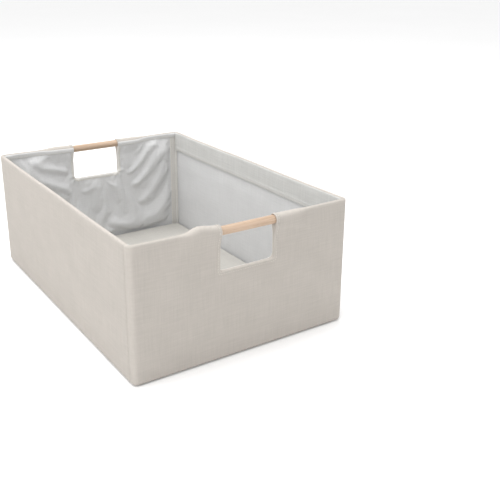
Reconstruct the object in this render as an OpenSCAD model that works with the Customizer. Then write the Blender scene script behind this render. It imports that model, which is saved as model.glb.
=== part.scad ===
// Open fabric storage bin: canvas over stiff wall boards, a grey lining, a loose base board
// and a wooden dowel carried in the rim above the hand hole of each short wall.
// +Z is up, +Y runs along the bin, the front handle wall faces -Y, and the origin is the
// centre of the footprint on the surface that the bin stands on. Millimetres.

/* [Bin] */
// Outside width across the handle walls
bin_w = 340; // [300:5:400]
// Outside length along the plain walls
bin_l = 500; // [440:5:560]
// Height from the floor to the rim
bin_h = 190; // [170:5:240]
// Outside radius of the four upright corners
corner_r = 8; // [6:0.5:10]
// Distance from each upright corner to the seam on the plain wall
seam_inset = 12; // [11:0.5:20]

/* [Layers] */
// Thickness of the outer canvas
canvas_t = 1.2; // [1:0.1:1.5]
// Thickness of the wall boards
board_t = 3; // [2.5:0.5:4]
// Thickness of the lining fabric
lining_t = 0.8; // [0.6:0.1:1]
// Thickness of facings, bindings and tapes
tape_t = 0.8; // [0.6:0.1:1]
// Gap between the bottom canvas and the lower edge of the wall boards
board_foot = 3; // [2:0.5:5]

/* [Rim] */
// Depth of the canvas facing inside the plain walls
plain_facing_h = 38; // [20:1:50]
// Depth of the narrow hem inside the handle walls
handle_facing_h = 6; // [5:0.5:8]

/* [Handles] */
// Diameter of the wooden dowels
dowel_d = 12; // [10:0.5:13]
// Length of a dowel from end to end
dowel_len = 146; // [136:2:170]
// Radial play of a dowel in its fabric sleeve
dowel_play = 0.2; // [0.1:0.05:0.3]
// Height of the dowel's axis below the rim
dowel_drop = 7; // [7:0.5:9]
// Clear width of a hand hole
hole_w = 85; // [80:1:100]
// Clear height of a hand hole under the dowel
hole_h = 49; // [40:1:55]
// Radius of a hand hole's lower corners
hole_r = 4; // [3:0.5:6]

/* [Bindings] */
// Width of the hand hole binding on each face of the wall
hole_lip = 5; // [4:0.5:6]
// Width of the corner binding on the handle wall's side
corner_tape_w = 12; // [8:1:16]
// Width of the corner binding on the plain wall's side
corner_tape_side_w = 6; // [4:1:8]

/* [Base board] */
// Gap between the base board and each plain wall's lining
base_gap_x = 2.5; // [2:0.5:5]
// Gap between the base board and each handle wall's lining
base_gap_y = 5.5; // [5:0.5:8]
// Thickness of the base board's core
base_core_t = 3; // [2:0.5:4]
// Width of the cover's turned-under edge
base_turn_w = 20; // [15:1:30]

/* [Hidden] */
$fn = 64;

half_w = bin_w / 2;
half_l = bin_l / 2;
// Depth of each layer's inner face below the outside of the wall
board_face = canvas_t;
lining_back = board_face + board_t;
lining_face = lining_back + lining_t;
facing_face = lining_face + tape_t;
// Heights of the layers at the bottom and of the fabric turned over the rim
bottom_top = canvas_t;
floor_z = bottom_top + lining_t;
rim_under = bin_h - canvas_t;
board_z = bottom_top + board_foot;
// Handle
dowel_r = dowel_d / 2;
dowel_z = bin_h - dowel_drop;
dowel_chamfer = 1;
sleeve_bore_r = dowel_r + dowel_play;
sleeve_r = sleeve_bore_r + tape_t;
sleeve_end_gap = 0.5;
sleeve_cap_t = 1.5;
sleeve_end = dowel_len / 2 + sleeve_end_gap + sleeve_cap_t;
sleeve_clear = 0.1;
seam_clear = 0.05;
board_slot_z = dowel_z - sleeve_r - 1;
wall_mid = lining_face / 2;
hole_half = hole_w / 2;
hole_top = dowel_z - dowel_r;
hole_sill = hole_top - hole_h;
lip_t = 0.5;
// Base board
base_half_w = half_w - lining_face - base_gap_x;
base_half_l = half_l - lining_face - base_gap_y;
base_r = 6;
base_core_z = floor_z + lining_t;
base_top = base_core_z + base_core_t + lining_t;
// A reach longer than any part, for cutting
far = 2 * bin_l;

canvas_colour = [0.80, 0.77, 0.73];
facing_colour = [0.84, 0.81, 0.77];
lining_colour = [0.74, 0.74, 0.73];
board_colour = [0.70, 0.58, 0.44];
wood_colour = [0.93, 0.76, 0.57];

// ---- shapes that repeat ----

// A rectangle with round corners, centred on the origin
module round_rect(hw, hl, r) {
    square([2 * (hw - r), 2 * hl], center = true);
    square([2 * hw, 2 * (hl - r)], center = true);
    for (sx = [-1, 1], sy = [-1, 1])
        translate([sx * (hw - r), sy * (hl - r)]) circle(r);
}

// The bin's plan, taken in from the outside by depth d
module plan(d) {
    round_rect(half_w - d, half_l - d, corner_r - d);
}

// The part of the plan that the front canvas takes, which wraps round both corners
module front_wrap() {
    translate([-half_w, -half_l]) square([bin_w, seam_inset]);
}

// The part of the plan that the left canvas takes, between the two corner seams
module left_strip() {
    translate([-half_w, seam_inset - half_l]) square([half_w, bin_l - 2 * seam_inset]);
}

// The part of the plan that the front rim takes, up to the corners' mitres
module front_sector() {
    polygon([
        [-half_w, -half_l], [half_w, -half_l],
        [half_w - half_l, 0], [half_l - half_w, 0]
    ]);
}

// The part of the plan that the left rim takes, up to the corners' mitres
module left_sector() {
    polygon([
        [-half_w, -half_l], [-half_w, half_l],
        [0, half_l - half_w], [0, half_w - half_l]
    ]);
}

// A slab of the front wall: half width hx, from depth d0 to depth d1, from z0 to z1
module front_slab(hx, d0, d1, z0, z1) {
    translate([-hx, -half_l + d0, z0]) cube([2 * hx, d1 - d0, z1 - z0]);
}

// A slab of the left wall: half length hy, from depth d0 to depth d1, from z0 to z1
module left_slab(hy, d0, d1, z0, z1) {
    translate([-half_w + d0, -hy, z0]) cube([d1 - d0, 2 * hy, z1 - z0]);
}

// A round bar of radius r and length len along X on the front dowel's axis
module front_bar(r, len) {
    translate([-len / 2, -half_l + wall_mid, dowel_z]) rotate([0, 90, 0]) cylinder(h = len, r = r);
}

// Everything inside the hand hole, larger by grow, open at the top
module front_hole(grow) {
    hx = hole_half + grow;
    r = hole_r + grow;
    z0 = hole_sill - grow;
    translate([0, -half_l + lining_face + far / 2, 0]) rotate([90, 0, 0]) linear_extrude(far) {
        translate([-hx, z0 + r]) square([2 * hx, bin_h + far]);
        translate([-hx + r, z0]) square([2 * (hx - r), 2 * r]);
        for (s = [-1, 1]) translate([s * (hx - r), z0 + r]) circle(r);
    }
}

// Room for the dowel sleeves in the layers of the front wall
module front_sleeve_room() {
    front_bar(sleeve_r + sleeve_clear, 2 * (sleeve_end + sleeve_clear));
    front_slab(sleeve_end + sleeve_clear, -far, far, dowel_z, bin_h + far);
}

module to_back() {
    mirror([0, 1, 0]) children();
}

module to_right() {
    mirror([1, 0, 0]) children();
}

// ---- outer canvas ----

module front_shell_panel() {
    color(canvas_colour) difference() {
        linear_extrude(bin_h) intersection() {
            difference() {
                plan(0);
                plan(canvas_t);
            }
            front_wrap();
        }
        front_hole(tape_t);
        front_sleeve_room();
    }
}

module left_shell_panel() {
    color(canvas_colour) linear_extrude(bin_h) intersection() {
        difference() {
            plan(0);
            plan(canvas_t);
        }
        left_strip();
    }
}

module bottom_shell_panel() {
    color(canvas_colour) linear_extrude(bottom_top) plan(canvas_t);
}

// ---- boards between the canvas and the lining ----

module front_wall_board() {
    color(board_colour) difference() {
        front_slab(half_w - corner_r, board_face, lining_back, board_z, rim_under);
        front_hole(tape_t);
        front_slab(sleeve_end + 1, 0, lining_face, board_slot_z, bin_h);
    }
}

module left_wall_board() {
    color(board_colour) left_slab(half_l - corner_r, board_face, lining_back, board_z, rim_under);
}

// ---- lining ----

module front_lining() {
    color(lining_colour) difference() {
        front_slab(half_w - lining_back, lining_back, lining_face, floor_z, rim_under);
        front_hole(tape_t);
        front_sleeve_room();
    }
}

module left_lining() {
    color(lining_colour) left_slab(half_l - lining_face, lining_back, lining_face, floor_z, rim_under);
}

module bottom_lining() {
    color(lining_colour) translate([0, 0, bottom_top]) linear_extrude(lining_t)
        square([bin_w - 2 * lining_back, bin_l - 2 * lining_back], center = true);
}

// ---- rim: canvas turned over the top edge and down the inside ----

// The flat part on top of a wall, inside the outer canvas
module rim_cap() {
    translate([0, 0, rim_under]) linear_extrude(canvas_t) intersection() {
        difference() {
            plan(canvas_t);
            square([bin_w - 2 * facing_face, bin_l - 2 * facing_face], center = true);
        }
        children();
    }
}

// The part that hangs down inside a wall, to depth h below the rim
module rim_band(h) {
    translate([0, 0, bin_h - h]) linear_extrude(h - canvas_t) intersection() {
        difference() {
            square([bin_w - 2 * lining_face, bin_l - 2 * lining_face], center = true);
            square([bin_w - 2 * facing_face, bin_l - 2 * facing_face], center = true);
        }
        children();
    }
}

module front_rim_hem() {
    color(facing_colour) difference() {
        union() {
            rim_cap() front_sector();
            rim_band(handle_facing_h) front_sector();
        }
        front_slab(sleeve_end + sleeve_clear, 0, corner_r + facing_face, board_slot_z, bin_h + 1);
    }
}

module left_rim_facing() {
    color(facing_colour) {
        rim_cap() left_sector();
        rim_band(plain_facing_h) left_sector();
    }
}

// ---- handle ----

// Two closed fabric tunnels, sewn down below the dowel, that hold its ends
module front_dowel_sleeves() {
    color(canvas_colour) difference() {
        union() {
            front_bar(sleeve_r, 2 * sleeve_end);
            front_slab(sleeve_end, board_face, lining_back, board_slot_z, dowel_z);
        }
        front_bar(sleeve_bore_r, dowel_len + 2 * sleeve_end_gap);
        front_slab(hole_half, -far, far, 0, bin_h + far);
    }
}

// Tape folded over the raw edge of the hand hole
module front_hand_hole_binding() {
    color(facing_colour) difference() {
        intersection() {
            front_hole(hole_lip);
            front_slab(hole_half + hole_lip, -lip_t, lining_face + lip_t, 0, board_slot_z);
        }
        front_hole(0);
        difference() {
            front_slab(half_w, 0, lining_face, 0, bin_h);
            front_hole(tape_t);
        }
    }
}

module front_handle_dowel() {
    body_len = dowel_len - 2 * dowel_chamfer;
    color(wood_colour) {
        front_bar(dowel_r, body_len);
        for (s = [-1, 1]) translate([s * body_len / 2, -half_l + wall_mid, dowel_z])
            rotate([0, s * 90, 0])
                cylinder(h = dowel_chamfer, r1 = dowel_r, r2 = dowel_r - dowel_chamfer);
    }
}

// ---- corners ----

// Tape over the upright seam inside the front left corner
module front_left_corner_binding() {
    x_in = -half_w + facing_face;
    y_wall = -half_l + lining_face;
    color(facing_colour) {
        translate([x_in, y_wall, floor_z])
            cube([corner_tape_w, tape_t, bin_h - handle_facing_h - floor_z]);
        translate([-half_w + lining_face, y_wall, floor_z])
            cube([tape_t, corner_tape_side_w, bin_h - plain_facing_h - floor_z]);
    }
}

// Seam allowances of the canvas and lining, bunched behind the lining in each corner
module corner_seam_allowances() {
    size = corner_r - canvas_t - seam_clear;
    color(lining_colour) for (sx = [0, 1], sy = [0, 1]) mirror([sx, 0, 0]) mirror([0, sy, 0])
        translate([-half_w + corner_r, -half_l + corner_r, board_z])
            linear_extrude(rim_under - board_z) intersection() {
                circle(size);
                difference() {
                    translate([-size, -size]) square(size);
                    translate([lining_back - corner_r, lining_back - corner_r]) square(corner_r);
                }
            }
}

// ---- loose base board ----

module base_board_core() {
    color(board_colour) translate([0, 0, base_core_z]) linear_extrude(base_core_t)
        round_rect(base_half_w - lining_t, base_half_l - lining_t, base_r);
}

// Fabric over the top and edges of the core, turned under and glued
module base_board_cover() {
    color(lining_colour) difference() {
        translate([0, 0, floor_z]) linear_extrude(base_top - floor_z)
            round_rect(base_half_w, base_half_l, base_r + lining_t);
        base_board_core();
        translate([0, 0, floor_z]) linear_extrude(lining_t) base_window();
    }
}

// The opening that the turned-under edges leave on the underside
module base_window() {
    square([2 * (base_half_w - base_turn_w), 2 * (base_half_l - base_turn_w)], center = true);
}

module base_board_backing() {
    color(board_colour) translate([0, 0, floor_z]) linear_extrude(lining_t) base_window();
}

// ---- nodes ----

front_shell_panel();
to_back() front_shell_panel();  // back_shell_panel
left_shell_panel();
to_right() left_shell_panel();  // right_shell_panel
bottom_shell_panel();
front_wall_board();
to_back() front_wall_board();  // back_wall_board
left_wall_board();
to_right() left_wall_board();  // right_wall_board
front_lining();
to_back() front_lining();  // back_lining
left_lining();
to_right() left_lining();  // right_lining
bottom_lining();
front_rim_hem();
to_back() front_rim_hem();  // back_rim_hem
left_rim_facing();
to_right() left_rim_facing();  // right_rim_facing
front_dowel_sleeves();
to_back() front_dowel_sleeves();  // back_dowel_sleeves
front_hand_hole_binding();
to_back() front_hand_hole_binding();  // back_hand_hole_binding
front_left_corner_binding();
to_right() front_left_corner_binding();  // front_right_corner_binding
to_back() front_left_corner_binding();  // back_left_corner_binding
to_back() to_right() front_left_corner_binding();  // back_right_corner_binding
corner_seam_allowances();
front_handle_dowel();
to_back() front_handle_dowel();  // back_handle_dowel
base_board_core();
base_board_cover();
base_board_backing();
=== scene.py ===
# The looks of a fabric storage bin: canvas over boards, a crumpled lining in the handle walls,
# wooden dowel grips and a loose base board. Metres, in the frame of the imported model.
#
# Each wall has its own coordinates: s runs along the wall to the right as seen from outside,
# d is the depth inward from the outside face, and z is the height.
import math

import bpy
import numpy as np
from mathutils import Matrix, Vector, noise


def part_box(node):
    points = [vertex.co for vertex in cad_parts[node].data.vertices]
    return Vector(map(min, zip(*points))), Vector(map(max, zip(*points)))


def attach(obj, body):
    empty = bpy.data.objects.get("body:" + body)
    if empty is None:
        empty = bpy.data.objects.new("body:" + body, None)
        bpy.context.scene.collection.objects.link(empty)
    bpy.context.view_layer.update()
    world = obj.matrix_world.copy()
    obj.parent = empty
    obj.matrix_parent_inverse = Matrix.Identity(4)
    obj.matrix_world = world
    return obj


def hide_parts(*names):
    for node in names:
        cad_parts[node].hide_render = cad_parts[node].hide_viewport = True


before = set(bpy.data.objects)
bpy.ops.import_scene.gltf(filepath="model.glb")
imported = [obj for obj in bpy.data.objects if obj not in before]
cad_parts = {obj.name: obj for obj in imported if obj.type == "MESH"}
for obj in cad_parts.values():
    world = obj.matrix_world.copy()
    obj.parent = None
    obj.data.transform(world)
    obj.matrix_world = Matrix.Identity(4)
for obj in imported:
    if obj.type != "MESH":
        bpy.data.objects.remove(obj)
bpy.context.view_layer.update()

# ---- sizes from the frame ----

HANDLE_WALLS = ("front", "back")
PLAIN_WALLS = ("left", "right")
WALLS = HANDLE_WALLS + PLAIN_WALLS

half_w = -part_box("left_shell_panel")[0].x
half_l = -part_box("front_shell_panel")[0].y
rim_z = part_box("left_shell_panel")[1].z
corner_r = half_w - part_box("front_wall_board")[1].x
seam_inset = half_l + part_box("left_shell_panel")[0].y
lining_face = half_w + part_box("left_lining")[1].x
facing_face = half_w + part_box("left_rim_facing")[1].x
facing_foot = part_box("left_rim_facing")[0].z
hem_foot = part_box("front_rim_hem")[0].z
floor_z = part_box("bottom_lining")[1].z
dowel_lo, dowel_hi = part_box("front_handle_dowel")
dowel_z = (dowel_lo.z + dowel_hi.z) / 2
dowel_r = (dowel_hi.z - dowel_lo.z) / 2
dowel_depth = half_l + (dowel_lo.y + dowel_hi.y) / 2
sleeve_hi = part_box("front_dowel_sleeves")[1]
sleeve_end = sleeve_hi.x
sleeve_r = sleeve_hi.z - dowel_z
hole_lo, hole_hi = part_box("front_hand_hole_binding")
tape_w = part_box("front_left_corner_binding")[1].x - (facing_face - half_w)
tape_side_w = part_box("front_left_corner_binding")[1].y - (lining_face - half_l)

# ---- sizes of the cloth itself ----

CANVAS_T = 0.0010
LINING_T = 0.0006
TAPE_T = 0.0008
LIP = 0.005  # width of the turned edge round a hand hole
FOOT_R = 0.006  # round of the bottom edge
STEP = 0.004  # usual distance between points
PUFF_REACH = 0.030  # how far along, and how far down, a wall swells to take in a sleeve
PUFF_DROP = 0.022
HOLE_R_OUT = 0.0016  # corners of a hand hole, outside and inside
HOLE_R_IN = 0.0070
SEAM_PINCH = 0.0004
SEAM_WIDTH = 0.0013
GAP = 0.0004  # how far a piece of cloth stands off what it lies on
LAYER = 0.0009  # rise of one cloth over another
RIM_SEAM = 0.0030  # from the crest of a plain wall's rim to the seam inside it
ROLL_END = 155  # degrees over the rim at which the outer canvas ends
SLACK = 0.03  # how much too large a handle wall's lining is
SEWN = 0.0045  # width of lining that is held down beside a hand hole
STITCH_LEN = 0.0028
STITCH_GAP = 0.0009
THREAD_R = 0.00025
# rows of stitches: up from a facing's foot, down from a hem's seam, out from the edge of a hand hole,
# along a sleeve from the hole
FACING_ROW = 0.0035
HEM_ROW = 0.0060
HOLE_ROW = 0.0036
SLEEVE_ROW = 0.0034

hole_half = hole_hi.x - LIP
sill_z = hole_lo.z + LIP
roll_r = sleeve_r + CANVAS_T
sleeve_bore = dowel_r + 0.0003


# ---- small helpers ----


def smooth(x):
    x = np.clip(x, 0, 1)
    return x * x * (3 - 2 * x)


def mix(a, b, w):
    return a + (b - a) * w


def bell(x, width):
    return np.exp(-((x / width) ** 2))


def quarter(r, count):
    """A quarter round of radius r, in points: what is left of one way, and what is done of the other."""
    turn = np.radians(np.linspace(0, 90, count))
    return r - r * np.sin(turn), r - r * np.cos(turn)


def ripple(u, v, size, seed):
    """Smooth noise from -1 to 1 over the plane, with features of about that size."""
    u, v = np.broadcast_arrays(np.asarray(u, float), np.asarray(v, float))
    flat = [noise.noise(Vector((a / size, b / size, seed))) for a, b in zip(u.ravel(), v.ravel())]
    return np.array(flat).reshape(u.shape)


def steps(*stops, size=STEP):
    """Places from the first stop to the last, on every stop and about size apart between them."""
    parts = [np.linspace(a, b, max(2, round((b - a) / size) + 1))[:-1] for a, b in zip(stops, stops[1:])]
    return np.concatenate([*parts, [stops[-1]]])


def place(side, s, d, z):
    """Points of a wall's coordinates in the frame's own."""
    s, d, z = np.broadcast_arrays(s, d, z)
    along, across = {
        "front": (s, d - half_l),
        "back": (-s, half_l - d),
        "left": (-s, d - half_w),
        "right": (s, half_w - d),
    }[side]
    if side in PLAIN_WALLS:
        along, across = across, along
    return np.stack([along, across, z], axis=-1)


def span(side):
    """Half the length of a wall, outside."""
    return half_w if side in HANDLE_WALLS else half_l


def round_corner(side, s, d):
    """Wraps a surface at depth d round the upright corners, where s passes the end of the flat."""
    flat = span(side) - corner_r
    over = np.clip(np.abs(s) - flat, 0, None)
    turn = np.minimum(over / corner_r, math.pi / 2)
    past = over - turn * corner_r
    r = corner_r - d
    along = np.where(over > 0, flat + r * np.sin(turn), np.abs(s)) * np.sign(s)
    depth = np.where(over > 0, corner_r - r * np.cos(turn) + past, d)
    return along, depth


# ---- the shape of a wall ----


def sleeve_weight(side, s):
    """1 where a dowel end lies in the wall's top edge, falling to 0 beyond its sleeve."""
    if side in PLAIN_WALLS:
        return np.zeros_like(s)
    return 1 - smooth((np.abs(s) - sleeve_end) / PUFF_REACH)


def rim_rise(side, s):
    """How far the rim stands above its nominal height: a slack sag, and cloth bunched over a dowel end."""
    length = span(side)
    slack = -0.0006 * np.sin(math.pi * np.clip(np.abs(s) / length, 0, 1)) ** 2
    wave = 0.0004 * ripple(s, 0, 0.05, 3 + WALLS.index(side))
    if side in PLAIN_WALLS:
        return slack + wave
    bunch = {"front": (0.0050, 0.0), "back": (0.0, 0.0006)}[side]
    height = np.where(s < 0, bunch[0], bunch[1])
    rise = smooth((sleeve_end + 0.018 - np.abs(s)) / 0.021)
    settle = mix(0.2, 1, smooth((np.abs(s) - hole_half) / (sleeve_end - hole_half)))
    return mix(slack, -0.0006, sleeve_weight(side, s)) + wave + height * rise * settle


def rim_roll(side, s):
    """Radius, depth and height of the roll that the cloth makes over the rim."""
    w = sleeve_weight(side, s)
    thin = facing_face / 2
    radius = mix(thin, roll_r, w)
    depth = mix(thin, dowel_depth, w)
    height = mix(rim_z - thin, dowel_z, w) + rim_rise(side, s)
    return radius, depth, height


def rim_seam(side, s):
    """Distance from the crest of the rim, over its roll, to the seam where the inside pieces start."""
    radius, _, _ = rim_roll(side, s)
    return RIM_SEAM * radius / (facing_face / 2)


def outer_depth(side, s, z):
    """Depth of the outer canvas below its roll over the rim. Negative where it stands proud."""
    radius, depth, height = rim_roll(side, s)
    flare = (depth - radius) * smooth(1 - (height - z) / PUFF_DROP)
    inside = smooth((z - FOOT_R) / 0.03) * smooth((rim_z - z) / 0.03)
    ends = smooth((span(side) - corner_r - np.abs(s)) / 0.03)
    seed = 11 + WALLS.index(side)
    swell = 0.0007 * (1 + ripple(s, z, 0.085, seed)) + 0.00022 * ripple(s, z, 0.022, seed)
    return flare - inside * ends * swell - tug(side, s, z)


def tug(side, s, z):
    """Faint creases that run down and outward from the dowel ends and the hole's lower corners."""
    total = 0 * (s + z)
    for hand in (-1, 1) if side in HANDLE_WALLS else ():
        for start_s, start_z, lean, length, height in (
            (sleeve_end + 0.006, dowel_z - 0.006, 0.9, 0.055, 0.0009),
            (sleeve_end - 0.004, dowel_z - 0.014, 0.35, 0.050, 0.0007),
            (hole_half + 0.006, sill_z - 0.004, 0.75, 0.040, 0.0006),
        ):
            ds, dz = hand * s - start_s, start_z - z
            along = ds * math.sin(lean) + dz * math.cos(lean)
            across = ds * math.cos(lean) - dz * math.sin(lean)
            fade = smooth(along / 0.008) * smooth((length - along) / (0.7 * length))
            total = total + height * fade * bell(across, 0.0035 + 0.06 * np.clip(along, 0, None))
    return total


def inner_depth(side, s, z):
    """Depth of the inner face of the wall below its roll over the rim."""
    radius, depth, height = rim_roll(side, s)
    roll = lining_face + (depth + radius - lining_face) * smooth(1 - (height - z) / PUFF_DROP)
    return roll + puckers(side, s, z)


def puckers(side, s, z):
    """Small gathers that fan out inside from the lower corners of a hand hole."""
    if side in PLAIN_WALLS:
        return 0 * (s + z)
    out, down = np.abs(s) - hole_half + 0.003, sill_z + 0.003 - z
    away = np.hypot(out, down)
    turn = np.arctan2(down, out)
    fade = smooth((away - 0.001) / 0.004) * smooth((0.019 - away) / 0.013)
    fade = fade * smooth((turn + 0.9) / 0.5) * smooth((2.5 - turn) / 0.5)
    lean = 0.5 * ripple(away, np.sign(s) * 0.1, 0.02, 5 + WALLS.index(side))
    return 0.0030 * fade * (0.5 + 0.5 * np.cos(6.2 * (turn + lean) + np.sign(s)))


def over_rim(side, s, angle, proud=0.0):
    """A point on the roll over the rim, from angle 0 outside to pi inside."""
    radius, depth, height = rim_roll(side, s)
    d = depth - (radius + proud) * np.cos(angle)
    return d, height + (radius + proud) * np.sin(angle)


def down_inside(side, s, v, proud=0.0, face=None):
    """Depth and height of the inner face, a distance v down from the crest of the rim."""
    radius, depth, height = rim_roll(side, s)
    quarter = radius * math.pi / 2
    d_roll, z_roll = over_rim(side, s, math.pi / 2 + np.clip(v, 0, quarter) / radius, proud)
    z = height - np.clip(v - quarter, 0, None)
    d = inner_depth(side, s, z) if face is None else np.maximum(face, inner_depth(side, s, z))
    below = smooth((v - quarter) / 0.003)
    d_flat = mix(depth + radius, d, below) + proud
    return np.where(v < quarter, d_roll, d_flat), np.where(v < quarter, z_roll, z)


# ---- meshes ----


def add_object(name, data):
    made = bpy.data.objects.new(name, data)
    bpy.context.scene.collection.objects.link(made)
    return made


def mesh_piece(name, points, faces, cloth_uv=None, wear_and_highlight=None):
    """A mesh from points, faces and, for each point, its place on the flat cloth in metres."""
    mesh = bpy.data.meshes.new(name)
    mesh.from_pydata([tuple(p) for p in points], [], [tuple(f) for f in faces])
    if cloth_uv is not None:
        layer = mesh.uv_layers.new(name="cloth")
        loops = np.zeros(len(mesh.loops), np.int32)
        mesh.loops.foreach_get("vertex_index", loops)
        layer.data.foreach_set("uv", np.asarray(cloth_uv, np.float32)[loops].ravel())
    if wear_and_highlight is not None:
        # per point, how much paler the cloth is: wear, and a painted highlight on edges and crests
        mesh.attributes.new("wear_and_highlight", "FLOAT", "POINT").data.foreach_set("value", wear_and_highlight.astype(np.float32))
    mesh.shade_smooth()
    mesh.update()
    return add_object(name, mesh)


def flat_lengths(points, axis):
    """Running distance along one axis of a grid of points."""
    hops = np.diff(points, axis=axis, prepend=np.take(points, [0], axis))
    return np.cumsum(np.linalg.norm(hops, axis=-1), axis=axis)


def grid_faces(nu, nv, keep=None, closed=False, flip=False):
    """Quads of a grid, as indices. keep drops cells, closed joins the last column to the first."""
    cols = nu if closed else nu - 1
    i, j = np.meshgrid(np.arange(cols), np.arange(nv - 1), indexing="ij")
    if keep is not None:
        i, j = i[keep], j[keep]
    i, j = i.ravel(), j.ravel()
    k = (i + 1) % nu
    quads = np.stack([i * nv + j, k * nv + j, k * nv + j + 1, i * nv + j + 1], axis=1)
    return quads[:, ::-1] if flip else quads


def tube_faces(sides, rows):
    """Faces of a grid that is closed round, with a cap at each end."""
    first = np.arange(sides) * rows
    return [*grid_faces(sides, rows, closed=True), first[::-1], first + rows - 1]


def used_points(faces, count):
    """The points that faces use, and the place of every point among them."""
    used = np.unique(faces)
    index = np.full(count, -1)
    index[used] = np.arange(len(used))
    return used, index


def cloth_grid(
    name, points, keep=None, thick=CANVAS_T, wear_and_highlight=0.0, closed=False, flip=False, cap=False, uv=None
):
    """A sheet of cloth from a grid of points on its shown face, given its thickness behind that face.

    cap closes the last row of a closed grid with one flat face, which is left unsubdivided.
    """
    nu, nv = points.shape[:2]
    if uv is None:
        uv = np.stack([flat_lengths(points, 0), flat_lengths(points, 1)], axis=-1)
    faces = grid_faces(nu, nv, keep, closed, flip)
    used, index = used_points(faces, nu * nv)
    shown = list(index[faces])
    if cap:
        ring = index[np.arange(nu) * nv + nv - 1]
        shown.append(ring[::-1] if flip else ring)
    # per point paling: wear, and a painted highlight on edges and crests
    point_wear_and_highlight = np.broadcast_to(wear_and_highlight, (nu, nv)).ravel()
    piece = mesh_piece(name, points.reshape(-1, 3)[used], shown, uv.reshape(-1, 2)[used], point_wear_and_highlight[used])
    solid = piece.modifiers.new("thickness", "SOLIDIFY")
    solid.thickness = thick
    solid.offset = -1
    if not cap:
        soft = piece.modifiers.new("soft", "SUBSURF")
        soft.levels = soft.render_levels = 1
    return piece


def hole_cut(s, hole_rows):
    """The cells of a wall's grid that are cloth: all but those of the given rows in the hand hole."""
    middle = (s[1:, 0] + s[:-1, 0]) / 2
    return ~((np.abs(middle) < hole_half)[:, None] & hole_rows[None, :])


def finish_piece(
    piece, look, replaces=(), body="bin"
):
    """Gives a piece its material and body, and hides the CAD parts it replaces."""
    piece.data.materials.append(look)
    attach(piece, body)
    if replaces:
        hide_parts(*replaces)
    return piece


def join_grids(name, pieces):
    """Several pieces as one object, with the first one's modifiers."""
    with bpy.context.temp_override(
        active_object=pieces[0], object=pieces[0], selected_editable_objects=pieces, selected_objects=pieces
    ):
        bpy.ops.object.join()
    pieces[0].name = name
    pieces[0].data.name = name
    return pieces[0]


def stitch_row(name, line, normal):
    """A row of stitches along a line of points, each a short bead of thread that dives into the cloth."""
    line = np.asarray(line, float)
    normal = np.broadcast_to(np.asarray(normal, float), line.shape)
    along = np.concatenate([[0], np.cumsum(np.linalg.norm(np.diff(line, axis=0), axis=1))])
    count = max(1, int(along[-1] / (STITCH_LEN + STITCH_GAP)))
    pitch = along[-1] / count
    turn = np.linspace(0, 2 * math.pi, 6, endpoint=False)[:, None, None]
    reach = STITCH_LEN * np.array([0, 0.08, 0.3, 0.7, 0.92, 1])
    radius = THREAD_R * np.array([0.25, 0.8, 1.0, 1.0, 0.8, 0.25])[:, None]
    rise = THREAD_R * np.array([-1.1, -0.3, 0.35, 0.35, -0.3, -1.1])[:, None]
    bead = tube_faces(len(turn), len(reach))
    points, faces = [], []
    for k in range(count):
        at = k * pitch + (pitch - STITCH_LEN) / 2 + reach
        centre, up = (
            np.stack([np.interp(at, along, axis) for axis in values.T], axis=1) for values in (line, normal)
        )
        up /= np.linalg.norm(up, axis=1, keepdims=True)
        run = centre[-1] - centre[0]
        run /= np.linalg.norm(run)
        side = np.cross(up, run)
        thread = centre + up * rise + radius * (np.cos(turn) * side + np.sin(turn) * up)
        faces += [face + k * len(turn) * len(reach) for face in bead]
        points.append(thread.reshape(-1, 3))
    return mesh_piece(name, np.concatenate(points), faces)


# ---- outer canvas ----


def seam_dip(distance):
    """How far cloth is drawn in beside a seam."""
    return SEAM_PINCH * bell(distance, SEAM_WIDTH)


def wall_stations(side):
    """Places along a wall's outer canvas, closer together round the corners and beside the seams."""
    flat = span(side) - corner_r
    edge = np.array([0.0026, 0.0016, 0.0008, 0])
    if side in HANDLE_WALLS:
        turn = corner_r * math.pi / 2
        end = flat + turn + seam_inset - corner_r
        out = [steps(0, hole_half, sleeve_end, flat), steps(flat, flat + turn, size=0.0016)[1:], end - edge]
    else:
        end = span(side) - seam_inset
        out = [steps(0, end - 0.005), end - edge]
    half = np.concatenate(out)
    return np.concatenate([-half[:0:-1], half]), end


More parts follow.
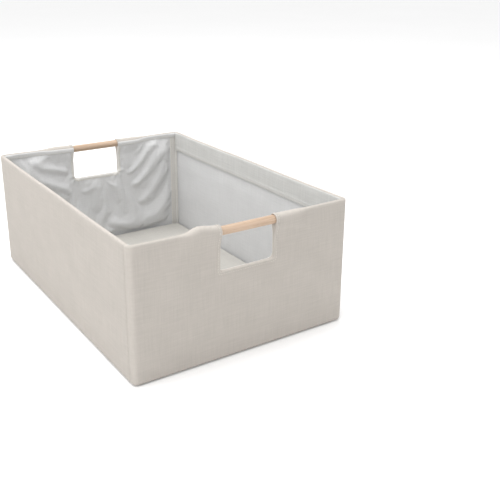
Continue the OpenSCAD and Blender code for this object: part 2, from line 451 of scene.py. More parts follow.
def outer_panel(side, look):
    """The outer canvas of a wall, from just under the bottom edge to just inside the rim."""
    s, end = wall_stations(side)
    s = s[:, None]
    radius, _, height = rim_roll(side, s)
    under = np.array([0.0012, 0.0006, 0])
    left, done = quarter(FOOT_R, 6)
    low = steps(FOOT_R, sill_z)[1:]
    high = mix(sill_z, height, steps(0, 1, size=STEP / (rim_z - sill_z))[1:])
    stretches = (
        (FOOT_R + under, 0),
        (left[1:], done[1:]),
        (outer_depth(side, s, low), low),
        (outer_depth(side, s, high), high),
        over_rim(side, s, np.radians(np.linspace(0, ROLL_END, 14)[1:])),
    )
    d = np.concatenate([depth + 0 * (s + z) for depth, z in stretches], axis=1)
    z = np.concatenate([z + 0 * (s + depth) for depth, z in stretches], axis=1)
    d = d + seam_dip(end - np.abs(s)) + 0.6 * seam_dip(FOOT_R + under[0] - d) * (z < FOOT_R)
    points = place(side, *round_corner(side, s, d), z)
    corner_highlight, keep, notch = 0 * s, None, 0
    if side in HANDLE_WALLS:
        past_flat = np.abs(s) - span(side) + corner_r
        # a painted highlight down the middle of each rounded upright corner
        corner_highlight = 0.55 * bell(past_flat - corner_r * math.pi / 4, 0.005)
        sill_row = np.argmin(np.abs(z[0] - sill_z))
        keep = hole_cut(s, np.arange(z.shape[1] - 1) >= sill_row)
        notch = 2 * hole_half * (rim_z - sill_z)
    # paler at the crest of the rim (painted highlight, with wear), down the corners' middle (painted
    # highlight) and along the foot
    wear_and_highlight = np.clip(bell(z - height - radius, 0.0028) + corner_highlight + 0.35 * bell(z - 0.001, 0.004), 0, 1)
    piece = cloth_grid(side + "_canvas_panel", points, keep, wear_and_highlight=wear_and_highlight)
    return finish_piece(
        piece, look, [side + "_shell_panel"],
    )


def rim_limit(side):
    """Where a rim piece ends, just past the mitre where it meets the next wall's."""
    return span(side) - corner_r + corner_r * math.pi / 4 + 0.0008


def over_tape(side, s):
    """How much a rim piece rises near the corners, where it covers the end of the corner tape."""
    reach = facing_face + (tape_w if side in HANDLE_WALLS else tape_side_w)
    return LAYER * smooth((np.abs(s) - span(side) + reach + 0.002) / 0.002)


def plain_facing(side, look):
    """The deep canvas facing inside a plain wall, with a hem along its lower edge."""
    end = rim_limit(side)
    s = np.concatenate([[-end], steps(-end + 0.003, end - 0.003), [end]])[:, None]
    drop = rim_z - facing_foot
    first = RIM_SEAM + np.array([0, 0.0006, 0.0014, 0.0024])
    last = drop - np.array([0.0072, 0.0064, 0.0048, 0.0035, 0.0022, 0.0006, 0])
    v = np.concatenate([first, steps(0.007, drop - 0.0082), last])
    hem = 0.0004 * smooth((v - drop + 0.0078) / 0.0012)
    edges = 0.0005 * bell(v - RIM_SEAM, 0.0006) + 0.0006 * bell(v - drop, 0.0007)
    proud = GAP + hem - edges + over_tape(side, s)
    hollow = 0.00035 * bell(v - drop + FACING_ROW, 0.0008)
    wave = 0.00035 * (1 + ripple(s, v, 0.045, 21 + WALLS.index(side))) * smooth((v - 0.004) / 0.01)
    d, z = down_inside(side, s, v + 0 * s, proud - hollow + wave, facing_face)
    points = place(side, *round_corner(side, s, d), z)
    # paler along the seam under the rim and along the hem at the foot: wear with a painted highlight
    wear_and_highlight = 0.5 * bell(v - RIM_SEAM, 0.002) + 0.35 * bell(v - drop, 0.002)
    piece = cloth_grid(side + "_facing", points, thick=TAPE_T, wear_and_highlight=wear_and_highlight)
    return finish_piece(
        piece, look, [side + "_rim_facing"],
    )


def handle_hem(side, look):
    """The narrow hem inside a handle wall's rim, left and right of the hand hole."""
    length = 0.0085
    down = np.array([0, 0.0006, 0.0014, 0.0026, 0.0040, 0.0052, 0.0066, 0.0078, length])
    proud = GAP + LAYER - 0.0008 * bell(down, 0.0006) - 0.0006 * bell(down - length, 0.0006)
    hollow = 0.0003 * bell(down - HEM_ROW, 0.0008)
    # paler along the hem's top, at the seam under the rim: wear with a painted highlight
    wear_and_highlight = 0.5 * bell(down, 0.002)
    parts = []
    for hand in (-1, 1):
        s = np.sort(steps(hole_half, sleeve_end, rim_limit(side), size=0.003) * hand)[:, None]
        # the hem starts level with the rim and only rises to cross the tape
        step = over_tape(side, s) * smooth(down / 0.0032)
        d, z = down_inside(side, s, down + rim_seam(side, s), proud - hollow + step)
        points = place(side, *round_corner(side, s, d), z)
        parts.append(cloth_grid(f"{side}_hem_{hand}", points, thick=TAPE_T, wear_and_highlight=wear_and_highlight))
    piece = join_grids(side + "_hem", parts)
    return finish_piece(
        piece, look, [side + "_rim_hem"],
    )


# ---- lining ----


def plain_lining(side, look):
    """The lining of a plain wall, laid flat over the board with a few soft swells."""
    end = span(side) - lining_face
    s = steps(-end, end)[:, None]
    z = steps(floor_z, facing_foot + 0.006)[::-1]
    ends = smooth((end - np.abs(s)) / 0.02) * smooth((z - floor_z) / 0.02) * smooth((z[0] - 0.008 - z) / 0.02)
    seed = 31 + WALLS.index(side)
    swell = 0.0007 * (1 + ripple(s, z, 0.06, seed)) + 0.0003 * ripple(s + 0.5 * z, z, 0.02, seed + 0.5)
    points = place(side, s, lining_face + ends * swell, z)
    piece = cloth_grid(side + "_lining_cloth", points, thick=LINING_T)
    return finish_piece(
        piece, look, [side + "_lining"],
    )


# Folds that the lining starts with, in millimetres, right of the middle and up as seen from inside:
# from (right, up) to (right, up), with height and width. They run from the hole's lower corners
# towards the wall's upper corners.
FOLDS = (
    (60, 132, 138, 183, 5.5, 8), (70, 100, 149, 165, 6.5, 9), (80, 64, 150, 122, 4.5, 10),
    (76, 170, 112, 183, 3, 5), (-57, 134, -128, 181, 5.5, 8), (-54, 104, -142, 166, 6.5, 9),
    (-62, 66, -149, 124, 4.5, 10), (-78, 172, -112, 180, 3, 6), (-32, 112, 12, 98, 3, 7),
    (22, 116, 50, 88, 3, 7), (-122, 26, -20, 50, 4, 12), (24, 44, 132, 24, 4, 12),
)


def first_folds(right, z, seed):
    """Depth of the folds that the lining starts with."""
    total = 0.0012 * (1 + ripple(right, z, 0.05, seed)) + 0.0006 * ripple(right, z, 0.018, seed)
    for k, (x0, z0, x1, z1, high, wide) in enumerate(np.array(FOLDS) * 0.001):
        shift = 0.006 * math.sin(seed + 2.3 * k)
        z0, z1 = z0 + shift, z1 - 0.5 * shift
        run = np.array([x1 - x0, z1 - z0])
        length = np.linalg.norm(run)
        run = run / length
        along = (right - x0) * run[0] + (z - z0) * run[1]
        across = (right - x0) * run[1] - (z - z0) * run[0]
        bend = 0.004 * np.sin(along / length * math.pi * 1.5 + seed)
        fade = smooth((along + 0.01) / 0.02) * smooth((length + 0.015 - along) / 0.04)
        total = total + high * fade * bell(across + bend, wide * (0.6 + 0.6 * np.clip(along / length, 0, 1)))
    return total


def crumple(points, faces, pinned):
    """Runs cloth that is a little too large for its pinned edges until it buckles. Returns its points."""
    scale, last = 10, 26
    test = mesh_piece("crumple", points * scale, faces)
    pins = test.vertex_groups.new(name="pins")
    pins.add([int(i) for i in np.flatnonzero(pinned)], 1, "REPLACE")
    cloth = test.modifiers.new("cloth", "CLOTH")
    for name, value in dict(
        quality=6, mass=0.25, tension_stiffness=20, compression_stiffness=20, shear_stiffness=8,
        bending_stiffness=0.35, air_damping=2, vertex_group_mass="pins", shrink_min=-SLACK,
    ).items():
        setattr(cloth.settings, name, value)
    cloth.settings.effector_weights.gravity = 0.12
    cloth.collision_settings.use_collision = False
    cloth.collision_settings.use_self_collision = False
    cloth.point_cache.frame_start, cloth.point_cache.frame_end = 1, last
    scene = bpy.context.scene
    for frame_number in range(1, last + 1):
        scene.frame_set(frame_number)
    shown = test.evaluated_get(bpy.context.evaluated_depsgraph_get())
    result = np.array([v.co for v in shown.data.vertices]) / scale
    bpy.data.objects.remove(test)
    scene.frame_set(1)
    return result


def handle_lining(side, look):
    """The loose lining of a handle wall, sewn in round its edges and crumpled in between."""
    end = half_w - lining_face
    beside = steps(hole_half, end, size=0.0026)
    under_hole = steps(-hole_half, hole_half, size=0.0026)[1:-1]
    s = np.concatenate([-beside[::-1], under_hole, beside])[:, None]
    radius, _, height = rim_roll(side, s)
    # a distance v down from the crest of the rim, measured along the cloth
    crest = height + radius * math.pi / 2
    tuck = rim_seam(side, s) + 0.0035
    at_floor = crest - floor_z
    upper = mix(tuck, crest - sill_z, steps(0, 1, size=1 / 22))
    lower = mix(crest - sill_z, at_floor, steps(0, 1, size=1 / 48)[1:])
    v = np.concatenate([upper, lower], axis=1)
    z = crest - v
    nu, nv = v.shape
    keep = hole_cut(s, np.arange(nv - 1) < upper.shape[1] - 1)
    near_hole = (np.abs(s) < hole_half + SEWN) & (z > sill_z - SEWN)
    edge = (np.abs(s) > end - tape_w + 0.001) | (z < floor_z + 0.006) | (v < tuck + 0.004)
    pinned = (near_hole | edge).ravel()
    off_edge = np.minimum(end - tape_w - np.abs(s), np.minimum(z - floor_z - 0.006, v - tuck - 0.004))
    off_hole = np.maximum(np.abs(s) - hole_half, sill_z - z) - SEWN
    free = smooth(off_edge / 0.012) * smooth(off_hole / 0.010)
    start = first_folds(-s, z, 41.3 + 7 * WALLS.index(side)) * free
    level = v.mean(axis=0) + 0 * s
    sheet = np.stack([s + 0 * v, start, -level], axis=-1).reshape(-1, 3)
    faces = grid_faces(nu, nv, keep)
    used, index = used_points(faces, nu * nv)
    moved = sheet.copy()
    moved[used] = crumple(sheet[used], index[faces], pinned[used])
    move = (moved - sheet).reshape(nu, nv, 3)
    # the cloth only moves off the wall, and not far
    lift = start + move[..., 1]
    lift = (lift + np.sqrt(lift**2 + 0.0008**2)) / 2
    lift = 0.011 * np.tanh(lift / 0.011)
    s_now = s + move[..., 0]
    d, z_now = down_inside(side, s_now, np.clip(v - move[..., 2], tuck, at_floor), lift)
    piece = cloth_grid(side + "_lining_cloth", place(side, s_now, d, z_now), keep, thick=LINING_T)
    return finish_piece(
        piece, look, [side + "_lining"],
    )


# ---- hand hole and dowel sleeves ----


def hole_outline(grow, corner, top):
    """The U of a hand hole, from its top left down and round to its top right, as (s, z)."""
    half = hole_half + grow
    low = sill_z - grow
    r = max(corner + grow, 0.0002)
    left = [(-half, z) for z in np.linspace(top, low + r, 14)]
    left += [(-half + x, low + z) for z, x in zip(*quarter(r, 9))][1:-1]
    bottom = [(x, low) for x in np.linspace(-half + r, half - r, 22)]
    return np.array(left + bottom + [(-x, z) for x, z in reversed(left)])


def hole_edge(side, profile, name):
    """Cloth turned round the edge of a hand hole.

    Each row of the profile is a distance from the hole's edge, a share of the way through the wall,
    and a height off its face.
    """
    top = dowel_z - dowel_r + 0.002
    columns = []
    for grow, share, proud in profile:
        s, z = hole_outline(grow, mix(HOLE_R_OUT, HOLE_R_IN, share), top).T
        outward = 2 * (share > 0.5) - 1
        pucker = 0.0002 * ripple(s + z, z - s, 0.006, 51 + share)
        d = mix(outer_depth(side, s, z), inner_depth(side, s, z), share) + (proud + pucker) * outward
        columns.append(place(side, s, d, z))
    # paler over the whole turned edge and most at the hole's rim: a painted highlight on the turned edge,
    # with wear
    wear_and_highlight = np.array([0.15 + 0.85 * bell(row[0], 0.0016) for row in profile])
    return cloth_grid(side + name, np.stack(columns, axis=1), thick=0.0005, wear_and_highlight=wear_and_highlight)


def hole_binding(side, outer_look, inner_look):
    """Canvas turned in round a hand hole from outside, and a facing turned back inside."""
    outer = (
        (0.0052, 0, -0.0002), (0.0050, 0, 0.0002), (0.0044, 0, 0.0004), (HOLE_ROW, 0, 0.0002),
        (0.0026, 0, 0.0004), (0.0014, 0, 0.0005), (0.0005, 0, 0.0003), (0.0001, 0.06, 0), (0, 0.25, 0),
        (0, 0.5, 0), (0, 0.75, 0), (0.0001, 0.90, 0), (0.0004, 0.96, 0),
    )
    inner = (
        (-0.0002, 0.84, 0), (-0.0002, 0.92, 0), (0.0001, 0.98, 0), (0.0006, 1, 0.0005),
        (0.0014, 1, 0.0008), (0.0026, 1, 0.0008), (HOLE_ROW, 1, 0.0006), (0.0044, 1, 0.0008),
        (0.0050, 1, 0.0006), (0.0052, 1, 0.0001),
    )
    for profile, name, share, look, stands_for in (
        (outer, "_hand_hole_edge", 0.96, outer_look, [side + "_hand_hole_binding"]),
        (inner, "_hand_hole_facing", 0.16, inner_look, []),
    ):
        finish_piece(
            hole_edge(side, profile, name), look, stands_for,
        )


def around_dowel(side, s, r, turn):
    """A point of a dowel's sleeve, and its direction outward. Bunched cloth lifts only its upper part."""
    rise = rim_rise(side, np.sign(s) * hole_half)
    lift = rise * smooth((r - sleeve_bore) / (roll_r - sleeve_bore)) * smooth(np.sin(turn))
    point, outer = (
        place(side, s, dowel_depth - q * np.cos(turn), dowel_z + q * np.sin(turn) + lift) for q in (r, r + 1)
    )
    return point, outer - point


def sleeve_tubes(side, look):
    """The tunnels that hold the dowel's ends, each with a turned edge at the hand hole."""
    bore = sleeve_bore
    # distance into the wall from the hole's edge, and radius
    profile = np.array([
        (0.0100, bore), (0.0040, bore), (0.0006, bore), (-0.0002, bore + 0.0003),
        (-0.0006, bore + 0.0009), (-0.0004, bore + 0.0016), (0.0002, roll_r + 0.0003),
        (0.0010, roll_r + 0.0006), (0.0024, roll_r + 0.0005), (SLEEVE_ROW, roll_r + 0.0003),
        (0.0044, roll_r + 0.0005), (0.0050, roll_r + 0.0002), (0.0053, roll_r - 0.0006),
        (0.0056, bore + TAPE_T), (sleeve_end - hole_half, bore + TAPE_T),
    ])
    into = profile[:, 0]
    turn = np.linspace(-math.pi / 2, 1.5 * math.pi, 41)[:, None]
    # paler at the sleeve's turned edge by the hand hole: painted highlight with wear
    wear_and_highlight = 0.9 * bell(into, 0.0016)
    parts = []
    for hand in (-1, 1):
        crease = 0.0003 * ripple(np.cos(turn) * 0.01, np.sin(turn) * 0.01 + hand * 0.03, 0.004, 61)
        r = profile[:, 1] + crease * (profile[:, 1] > bore + 0.0002)
        points, _ = around_dowel(side, hand * (hole_half + into), r, turn)
        parts.append(cloth_grid(f"{side}_sleeve_{hand}", points, thick=0.0004, wear_and_highlight=wear_and_highlight, flip=hand > 0))
    piece = join_grids(side + "_sleeves", parts)
    return finish_piece(
        piece, look, [side + "_dowel_sleeves"],
    )


# ---- corners ----


def tape_plan():
    """Section of a corner tape: distances in from the plain and the handle wall's outside faces."""
    face = lining_face + GAP + LAYER
    bend = 0.0018
    wide = facing_face + tape_w - face - bend
    narrow = lining_face + tape_side_w - face - bend
    wide_t = np.concatenate([[0.0002, 0.0008, 0.0020, 0.0032], steps(0.0046, wide, size=0.0028)])
    narrow_t = np.array([narrow, 0.0025, 0.0012, 0.0006, 0.0001])
    plan = [(face + bend + wide - t, face - 0.0007 * math.exp(-t / 0.0004)) for t in wide_t]
    plan += [(face + x, face + y) for x, y in zip(*quarter(bend, 6))][1:-1]
    plan += [(face - 0.0007 * math.exp(-t / 0.0004), face + bend + narrow - t) for t in narrow_t]
    return np.array(plan), wide + narrow + 1.6 * bend


def corner_signs(end_name, side_name):
    """Which way a corner lies along X and Y."""
    return -1 if side_name == "left" else 1, -1 if end_name == "front" else 1


def corner_points(plan, z, hand_x, hand_y, sag=0):
    """An upright piece in a corner, from its section and its heights."""
    x = hand_x * (half_w - plan[:, :1] - sag) + 0 * z
    y = hand_y * (half_l - plan[:, 1:] - sag) + 0 * z
    return np.stack([x, y, z + 0 * x], axis=-1)


def corner_tape(end_name, side_name, look):
    """The tape over the seam in an inside corner: wide on the handle wall, narrow on the plain wall."""
    hand_x, hand_y = corner_signs(end_name, side_name)
    plan, across = tape_plan()
    tucked_in = rim_z - 0.0065
    z = steps(floor_z, tucked_in)
    sag = np.abs(0.0004 * ripple(plan[:, :1] * 2 + hand_x, z + hand_y * 0.3, 0.02, 71))
    points = corner_points(plan, z, hand_x, hand_y, sag)
    # paler along the tape's turned edge on the handle wall: painted highlight with wear
    wear_and_highlight = 0.6 * bell(np.arange(len(plan))[:, None] - 0.5, 1.2)
    corner = f"{end_name}_{side_name}_corner_"
    piece = cloth_grid(corner + "tape", points, thick=TAPE_T, wear_and_highlight=wear_and_highlight, flip=hand_x * hand_y < 0)
    return finish_piece(
        piece, look, [corner + "binding"],
    )


def seam_folds(look):
    """The spare cloth of the corners, folded away upright between the boards."""
    lo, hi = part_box("corner_seam_allowances")
    inner = corner_r - CANVAS_T - 0.0007
    plan = []
    for k, away in enumerate((0.0046, 0.0027, 0.0008)):
        reach = math.sqrt(inner**2 - away**2)
        row = [(corner_r - t, corner_r - away) for t in np.linspace(0.0008, reach, 6)]
        plan += row[::-1] if k % 2 else row
    plan = np.array(plan)
    z = steps(lo.z, hi.z - 0.004, size=0.012)
    parts = []
    for hand_x in (-1, 1):
        for hand_y in (-1, 1):
            points = corner_points(plan, z, hand_x, hand_y)
            parts.append(cloth_grid(f"fold_{hand_x}_{hand_y}", points, thick=LINING_T))
    piece = join_grids("corner_seam_folds", parts)
    return finish_piece(
        piece, look, ["corner_seam_allowances"],
    )


# ---- bottom and base board ----


def round_rect(hw, hl, r, per_side=(40, 60), per_corner=11):
    """Points round a rectangle with round corners, always the same number on each stretch."""
    r = max(min(r, hw - 1e-4, hl - 1e-4), 1e-4)
    arcs = []
    for k, (cx, cy) in enumerate(((1, -1), (1, 1), (-1, 1), (-1, -1))):
        turn = np.radians(90 * (k - 1) + np.linspace(0, 90, per_corner))
        arcs.append(np.stack([cx * (hw - r) + r * np.cos(turn), cy * (hl - r) + r * np.sin(turn)], axis=1))
    out = []
    for k, arc in enumerate(arcs):
        share = np.linspace(0, 1, per_side[(k + 1) % 2] + 1)[1:-1, None]
        out += [arc, mix(arc[-1], arcs[(k + 1) % 4][0], share)]
    return np.concatenate(out)


def ringed_sheet(name, hw, hl, r, profile, thick, swell=0.0, seed=0.0, flip=False):
    """A round-cornered sheet: profile gives the inset and height of its edge, and the middle is flat."""
    rings = [(round_rect(hw - inset, hl - inset, r - inset), inset, z) for inset, z in profile]
    last, inset, top = rings[-1]
    shares = steps(0, 0.99, size=0.07)[1:]
    rings += [(last * (1 - t), inset + t * (hw - inset), top) for t in shares]
    plan = np.stack([ring for ring, _, _ in rings], axis=1)
    inset = np.array([ring[1] for ring in rings])
    z = np.array([ring[2] for ring in rings])
    z = z + swell * (1 + ripple(plan[..., 0], plan[..., 1], 0.07, seed)) * smooth((inset - 0.002) / 0.02)
    points = np.concatenate([plan, z[..., None]], axis=-1)
    unit = plan / np.linalg.norm(plan, axis=-1, keepdims=True)
    uv = plan + unit * (top - z)[..., None]
    # paler round the upper rounded edge only: a painted highlight from above, with wear
    wear_and_highlight = 0.7 * bell(inset, 0.0022) * (z > z.mean())
    return cloth_grid(name, points, thick=thick, wear_and_highlight=wear_and_highlight, closed=True, flip=flip, cap=True, uv=uv)


def base_cover(look):
    """Fabric over the loose base board, wrapped round its edges and turned under."""
    lo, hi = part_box("base_board_cover")
    turn_w = hi.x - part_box("base_board_backing")[1].x
    top, low = hi.z, lo.z
    bend = 0.0018
    left, done = quarter(bend, 8)
    profile = [(turn_w, low), (turn_w * 0.5, low), *zip(left, low + done), *zip(done, top - left)]
    profile += [(0.003, top)]
    piece = ringed_sheet("base_cover_cloth", hi.x, hi.y, 0.0068, profile, LINING_T, 0.0003, 81)
    return finish_piece(
        piece, look, ["base_board_cover"], "base_board",
    )


def bottom_sheets(canvas, lining):
    """The canvas under the bin and the lining under the base board."""
    edge = FOOT_R + 0.0014
    hw, hl = half_w - edge, half_l - edge
    profile = [(0, 0.0009), (0.0006, 0.0002), (0.0016, 0), (0.006, 0)]
    under = ringed_sheet("bottom_canvas", hw, hl, 0.002, profile, CANVAS_T, flip=True)
    finish_piece(under, canvas, ["bottom_shell_panel"])
    hw, hl = half_w - lining_face, half_l - lining_face
    profile = [(0, floor_z - 0.0003), (0.004, floor_z - 0.0003)]
    inside = ringed_sheet("bottom_lining_cloth", hw, hl, 0.002, profile, LINING_T)
    finish_piece(inside, lining, ["bottom_lining"])


# ---- dowels ----


def dowel(side, look):
    """A turned wooden dowel with eased ends."""
    lo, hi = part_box(side + "_handle_dowel")
    ease = 0.0012
    left, done = quarter(ease, 5)
    ends = list(zip(lo.x + left[::-1], dowel_r - done[::-1]))
    middle = [(x, dowel_r) for x in steps(lo.x + ease, hi.x - ease, size=0.012)[1:-1]]
    x, r = np.array(ends + middle + [(-x, r) for x, r in reversed(ends)]).T
    angle = np.linspace(0, 2 * math.pi, 64, endpoint=False)[:, None]
    y = (lo.y + hi.y) / 2 + r * np.cos(angle)
    points = np.stack([x + 0 * y, y, dowel_z + r * np.sin(angle)], axis=-1)
    piece = mesh_piece(side + "_dowel", points.reshape(-1, 3), tube_faces(len(angle), len(x)))
    return finish_piece(piece, look, [side + "_handle_dowel"], body=side + "_dowel")


# ---- stitches ----


def sew(name, line, normal, look):
    return finish_piece(stitch_row(name, line, normal), look)


def wall_stitches(side, look):
    """The rows of stitches on one wall's rim, and round its hand hole and sleeves."""
    out = place(side, 0, -1, 0) - place(side, 0, 0, 0)
    if side in PLAIN_WALLS:
        s = steps(-rim_limit(side) + 0.006, rim_limit(side) - 0.006, size=0.006)
        v = rim_z - facing_foot - FACING_ROW
        d, z = down_inside(side, s, v + 0 * s, 0.0012 + over_tape(side, s), facing_face)
        sew(side + "_facing_stitches", place(side, s, d, z), -out, look)
        return
    for hand, name in ((-1, "left"), (1, "right")):
        s = hand * steps(hole_half + 0.007, rim_limit(side) - 0.006, size=0.005)
        proud = 0.0011 + LAYER * 0.3 + over_tape(side, s)
        d, z = down_inside(side, s, rim_seam(side, s) + HEM_ROW, proud)
        sew(f"{side}_hem_stitches_{name}", place(side, s, d, z), -out, look)
        turn = np.linspace(-0.75, math.pi + 0.75, 24)
        s = hand * (hole_half + SLEEVE_ROW) + 0 * turn
        line, normal = around_dowel(side, s, roll_r + 0.0004 + 0 * turn, turn)
        sew(f"{side}_sleeve_stitches_{name}", line, normal, look)
    for name, corner, depth, proud, up in (
        ("outer", HOLE_R_OUT, outer_depth, -0.0004, out),
        ("inner", HOLE_R_IN, inner_depth, 0.0008, -out),
    ):
        s, z = hole_outline(HOLE_ROW, corner, dowel_z - sleeve_r - 0.001).T
        sew(f"{side}_hole_stitches_{name}", place(side, s, depth(side, s, z) + proud, z), up, look)


def tape_stitches(end_name, side_name, look):
    """Two rows of stitches down a corner tape."""
    hand_x, hand_y = corner_signs(end_name, side_name)
    z = steps(floor_z + 0.004, hem_foot - 0.004, size=0.01)
    y = hand_y * (half_l - lining_face - GAP - LAYER - 0.0002) + 0 * z
    for name, inset in (("edge", facing_face + tape_w - 0.0024), ("corner", facing_face + 0.0040)):
        x = hand_x * (half_w - inset) + 0 * z
        line = np.stack([x, y, z], axis=1)
        sew(f"{end_name}_{side_name}_tape_stitches_{name}", line, (0, -hand_y, 0), look)


# ---- materials ----


class Look:
    """A material in the making, with short calls for the nodes used here."""

    def __init__(self, name, sheen=0.0, specular=0.3):
        self.material = bpy.data.materials.new(name)
        self.material.use_nodes = True
        self.tree = self.material.node_tree
        self.shader = self.tree.nodes["Principled BSDF"]
        self.shader.inputs["Specular IOR Level"].default_value = specular
        self.shader.inputs["Sheen Weight"].default_value = sheen
        self.shader.inputs["Sheen Roughness"].default_value = 0.5

    def node(self, kind, inputs=(), output=0, **settings):
        """Adds a node and returns its output. An input is a number, a colour or another node's output."""
        made = self.tree.nodes.new("ShaderNode" + kind)
        for key, value in settings.items():
            setattr(made, key, value)
        for key, value in dict(inputs).items():
            if isinstance(value, bpy.types.NodeSocket):
                self.tree.links.new(value, made.inputs[key])
            else:
                made.inputs[key].default_value = value
        return made.outputs[output]

    def maths(self, operation, value, *others):
        """One operation on a value, or repeated with each of several others."""
        for other in others or (0.0,):
            value = self.node("Math", {0: value, 1: other}, operation=operation)
        return value

    def times(self, *values):
        return self.maths("MULTIPLY", *values)

    def plus(self, *values):
        return self.maths("ADD", *values)

    def ranged(self, value, low, high, to_low=0.0, to_high=1.0):
        return self.node("MapRange", {0: value, 1: low, 2: high, 3: to_low, 4: to_high})

    def noise(self, where, scale, detail=2.0, stretch=(1, 1, 1)):
        """Noise of a given scale, drawn out along axes by stretch."""
        where = self.node("Mapping", {0: where, 3: stretch})
        return self.node("TexNoise", {"Vector": where, "Scale": scale, "Detail": detail})

    def scaled(self, vector, amount):
        return self.node("VectorMath", {0: vector, "Scale": amount}, operation="SCALE")

    def blend(self, share, first, colour):
        return self.node("Mix", {0: share, 6: first, 7: (*colour, 1)}, output=2, data_type="RGBA")

    def shades(self, share, *colours):
        """A colour ramp over the given colours, evenly spaced."""
        made = self.tree.nodes.new("ShaderNodeValToRGB")
        ramp = made.color_ramp
        while len(ramp.elements) < len(colours):
            ramp.elements.new(0.5)
        for k, (element, colour) in enumerate(zip(ramp.elements, colours)):
            element.position = k / (len(colours) - 1)
            element.color = (*colour, 1)
        self.tree.links.new(share, made.inputs[0])
        return made.outputs[0]

    def finish(self, colour, rough, height=None, depth=0.0):
        """Links the shader's colour and roughness, and a bump of that many metres."""
        self.tree.links.new(colour, self.shader.inputs["Base Color"])
        self.tree.links.new(rough, self.shader.inputs["Roughness"])
        if height is not None:
            bump = self.node("Bump", {"Strength": 1.0, "Distance": depth, "Height": height})
            self.tree.links.new(bump, self.shader.inputs["Normal"])
        return self.material


def tinted(colour, amount):
    return tuple(min(1.0, c * amount) for c in colour)


def woven(name, colour, pitch, contrast=0.06, slub=0.35, wear_and_highlight_lift=1.16, sheen=0.05, depth=0.00018):
    """Plain-woven cloth: over-and-under threads of uneven thickness and tone, mottled, with painted shade
    between the threads, and paler where worn and where a painted highlight lies on edges and crests.
    """
    look = Look(name, sheen, 0.15)
    flat = look.node("UVMap", uv_map="cloth")
    waves = []
    for axis, stretch in enumerate(((0.11 / pitch, 22, 1), (18, 0.10 / pitch, 1))):
        drift = look.times(look.noise(flat, 1.0, 1, stretch), 2.6 * pitch)
        across = look.plus(look.node("SeparateXYZ", {0: flat}, axis), drift)
        waves.append(look.maths("SINE", look.times(across, math.pi / pitch)))
    on_top = look.maths("GREATER_THAN", look.times(*waves), 0.0)
    round_u, round_v = (look.maths("SQRT", look.maths("ABSOLUTE", wave)) for wave in waves)
    upright = look.times(round_u, look.ranged(round_v, 0, 1, 0.55, 1))
    level = look.times(round_v, look.ranged(round_u, 0, 1, 0.55, 1))
    over = look.node("Mix", {0: on_top, 2: upright, 3: level}, data_type="FLOAT")
    warp = look.noise(flat, 1.0, 2, (0.42 / pitch, 26, 1))
    weft = look.noise(flat, 1.0, 2, (22, 0.36 / pitch, 1))
    thread = look.node("Mix", {0: on_top, 2: warp, 3: weft}, data_type="FLOAT")
    tone = look.ranged(thread, 0.32, 0.68)
    yarn = look.shades(tone, tinted(colour, 1 - contrast), colour, tinted(colour, 1 + contrast))
    thick_u = look.ranged(look.noise(flat, 1.0, 1, (620, 34, 1)), 0.66, 0.80)
    thick_v = look.ranged(look.noise(flat, 1.0, 1, (30, 680, 1)), 0.66, 0.80)
    slubs = look.maths("MAXIMUM", thick_u, thick_v)
    yarn = look.blend(look.times(slubs, 0.6 * slub), yarn, tinted(colour, 0.86))
    # painted shade: darker where the threads dip between the crossings
    thread_gap_shade = look.ranged(over, 0.0, 0.45, 1 - 1.4 * contrast, 1.0)
    mottle = look.ranged(look.noise(flat, 26, 4), 0.3, 0.7, 0.975, 1.02)
    broad = look.ranged(look.noise(flat, 5, 2), 0.3, 0.7, 0.985, 1.015)
    yarn = look.scaled(yarn, look.times(thread_gap_shade, mottle, broad))
    patchy = look.ranged(look.noise(flat, 160, 3), 0.35, 0.65, 0.55, 1.0)
    # paler where the attribute says: wear, and a painted highlight on edges and crests, broken up in patches
    wear_and_highlight = look.times(look.node("Attribute", output=2, attribute_name="wear_and_highlight"), patchy)
    yarn = look.blend(wear_and_highlight, yarn, tinted(colour, wear_and_highlight_lift))
    fuzz = look.noise(flat, 2600, 2)
    height = look.plus(over, look.times(thread, 1.1), look.times(slubs, slub), look.times(fuzz, 0.25))
    return look.finish(yarn, look.ranged(fuzz, 0.3, 0.7, 0.83, 0.94), height, depth)


def thread_material(name, colour):
    """Sewing thread: a fine twist in the bump, and stitches that differ a little in tone."""
    look = Look(name, 0.2, 0.4)
    where = look.node("TexCoord", output=3)
    tone = look.ranged(look.noise(where, 240, 1), 0.3, 0.7)
    twist = look.noise(where, 5200, 1)
    dyed = look.shades(tone, tinted(colour, 0.90), colour, tinted(colour, 1.06))
    return look.finish(dyed, look.ranged(twist, 0.3, 0.7, 0.62, 0.78), twist, 0.00008)


def wood_material(name, pale, deep):
    """Beech along X: long growth streaks, short dark flecks and a fine pore texture under a thin finish."""
    look = Look(name, 0.0, 0.35)
    where = look.node("TexCoord", output=3)
    drift = look.scaled(look.noise(where, 22, 2), 0.004)
    where = look.node("VectorMath", {0: where, 1: drift}, operation="ADD")
    streak = look.noise(where, 1.0, 3, (14, 420, 420))
    fibre = look.noise(where, 1.0, 3, (60, 2600, 2600))
    fleck = look.ranged(look.noise(where, 1.0, 1, (260, 1500, 1500)), 0.67, 0.78)
    tone = look.ranged(look.plus(look.times(streak, 0.65), look.times(fibre, 0.35)), 0.36, 0.64)
    middle = tuple((a + b) / 2 for a, b in zip(pale, deep))
    grain = look.shades(tone, deep, middle, pale, tinted(pale, 1.04))
    grain = look.blend(look.times(fleck, 0.45), grain, tinted(deep, 0.72))
    grain = look.scaled(grain, look.ranged(look.noise(where, 30, 1), 0.3, 0.7, 0.96, 1.04))
    height = look.maths("SUBTRACT", fibre, look.times(fleck, 0.8))
    return look.finish(grain, look.ranged(fibre, 0.3, 0.7, 0.50, 0.64), height, 0.00007)


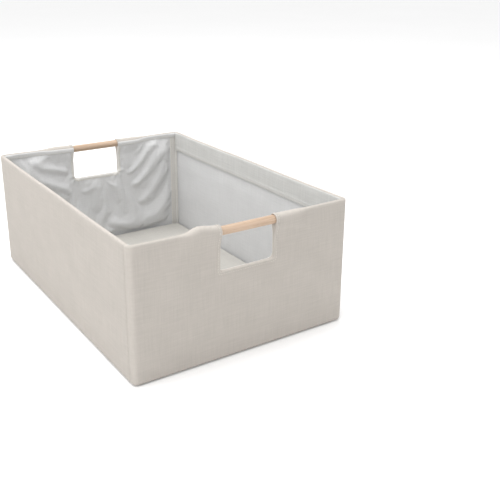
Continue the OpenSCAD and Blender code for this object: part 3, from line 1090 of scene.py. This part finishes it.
def board_material(name, colour, speck, fine):
    """Pressed board or paper: fibres in all directions and scattered specks."""
    look = Look(name, 0.05, 0.25)
    where = look.node("TexCoord", output=3)
    coarse = fine / 7
    lengthwise = look.noise(where, 1.0, 3, (fine, coarse, fine))
    fibres = look.plus(lengthwise, look.noise(where, 1.0, 3, (coarse, fine, fine)))
    tone = look.ranged(fibres, 0.75, 1.25)
    base = look.shades(tone, tinted(colour, 0.86), colour, tinted(colour, 1.08))
    dots = look.ranged(look.noise(where, 420, 1), 0.70, 0.76)
    base = look.blend(look.times(dots, 0.7), base, speck)
    return look.finish(base, look.ranged(tone, 0.0, 1.0, 0.84, 0.94), fibres, 0.00012)


def floor_material():
    """A plain pale floor with the faintest unevenness."""
    look = Look("studio_floor", 0.0, 0.2)
    tone = look.ranged(look.noise(look.node("TexCoord", output=3), 1.5, 2), 0.3, 0.7)
    return look.finish(look.shades(tone, FLOOR, tinted(FLOOR, 1.01)), look.ranged(tone, 0.0, 1.0, 0.9, 0.95))


CANVAS = (0.462, 0.429, 0.392)
# the canvas folded in as the plain walls' facing, painted paler and greyer than the canvas itself: painted
# light and bounce light inside
TRIM_PAINTED_LIGHT = (0.605, 0.603, 0.585)
HEM = (0.640, 0.638, 0.634)
TAPE = (0.690, 0.675, 0.645)
LINING = (0.655, 0.656, 0.658)
COVER = (0.500, 0.485, 0.452)
THREAD = (0.640, 0.610, 0.555)
BEECH_PALE = (0.510, 0.380, 0.282)
BEECH_DEEP = (0.400, 0.280, 0.192)
GREYBOARD = (0.330, 0.315, 0.290)
PAPER = (0.720, 0.700, 0.660)
FLOOR = (0.92, 0.92, 0.92)


# ---- the studio ----


def soft_light(name, place_at, target, size, watts):
    lamp = bpy.data.lights.new(name, "AREA")
    lamp.shape = "DISK"
    lamp.size = size
    lamp.energy = watts
    holder = add_object(name, lamp)
    holder.location = place_at
    holder.rotation_euler = (Vector(target) - Vector(place_at)).to_track_quat("-Z", "Y").to_euler()


def studio():
    """A pale floor, an even pale surround and large soft lamps."""
    reach = 14.0
    corners = [(-reach, -reach, 0), (reach, -reach, 0), (reach, reach, 0), (-reach, reach, 0)]
    floor = mesh_piece("studio_floor", corners, [(0, 1, 2, 3)])
    floor.location.z = -0.0004
    floor.data.materials.append(floor_material())
    scene = bpy.context.scene
    world = bpy.data.worlds.new("studio")
    world.use_nodes = True
    surround = world.node_tree.nodes["Background"]
    surround.inputs["Color"].default_value = (1.0, 1.0, 1.0, 1)
    surround.inputs["Strength"].default_value = 1.0
    scene.world = world
    scene.view_settings.view_transform = "Standard"
    soft_light("key_lamp", (-1.5, -0.7, 1.0), (0, 0, 0.1), 1.2, 5.5)
    soft_light("top_lamp", (-0.3, 0.2, 2.6), (0, 0, 0.1), 2.0, 52)


def camera():
    """The camera at the photograph's viewing angle."""
    heading, down, lean = math.radians(-34.36), math.radians(18.95), math.radians(0.54)
    turned = Matrix.Rotation(heading, 4, "Z") @ Matrix.Rotation(math.pi / 2 - down, 4, "X")
    lens = bpy.data.cameras.new("camera")
    lens.sensor_width = 36
    lens.lens = 53.34
    lens.shift_y = -0.08
    lens.clip_start, lens.clip_end = 0.05, 60
    holder = add_object("camera", lens)
    place_at = Matrix.Translation((-0.5043, -0.9915, 0.5121))
    holder.matrix_world = place_at @ turned @ Matrix.Rotation(lean, 4, "Z")
    bpy.context.scene.camera = holder


# ---- the object ----


def dress_boards():
    """Board and paper materials for the stiff CAD nodes, which keep their own shapes."""
    greyboard = board_material("greyboard", GREYBOARD, (0.16, 0.15, 0.14), 900)
    paper = board_material("backing_paper", PAPER, (0.50, 0.47, 0.42), 1500)
    looks = {side + "_wall_board": greyboard for side in WALLS}
    looks.update(base_board_core=greyboard, base_board_backing=paper)
    for name, look in looks.items():
        for slot in bpy.data.objects[name].material_slots:
            slot.material = look


def bin_pieces():
    canvas = woven("canvas", CANVAS, 0.00070)
    # the facing's canvas, with painted light in its colour
    trim_painted_light = woven("canvas_trim", TRIM_PAINTED_LIGHT, 0.00062, contrast=0.08)
    hem = woven("hem", HEM, 0.00060, contrast=0.05, slub=0.1, wear_and_highlight_lift=1.05)
    tape = woven("tape", TAPE, 0.00060, contrast=0.05, slub=0.1)
    lining = woven("lining", LINING, 0.00045, contrast=0.05, slub=0.15, sheen=0.1, depth=0.00010)
    cover = woven("base_cover", COVER, 0.00055, contrast=0.07, slub=0.3)
    thread = thread_material("thread", THREAD)
    wood = wood_material("dowel_wood", BEECH_PALE, BEECH_DEEP)
    for side in WALLS:
        outer_panel(side, canvas)
    for side in PLAIN_WALLS:
        plain_lining(side, lining)
        plain_facing(side, trim_painted_light)
    for side in HANDLE_WALLS:
        handle_lining(side, lining)
        handle_hem(side, hem)
        hole_binding(side, canvas, tape)
        sleeve_tubes(side, canvas)
        dowel(side, wood)
        for name in PLAIN_WALLS:
            corner_tape(side, name, tape)
            tape_stitches(side, name, thread)
    for side in WALLS:
        wall_stitches(side, thread)
    bottom_sheets(canvas, lining)
    base_cover(cover)
    seam_folds(lining)
    dress_boards()


camera()
bin_pieces()
studio()
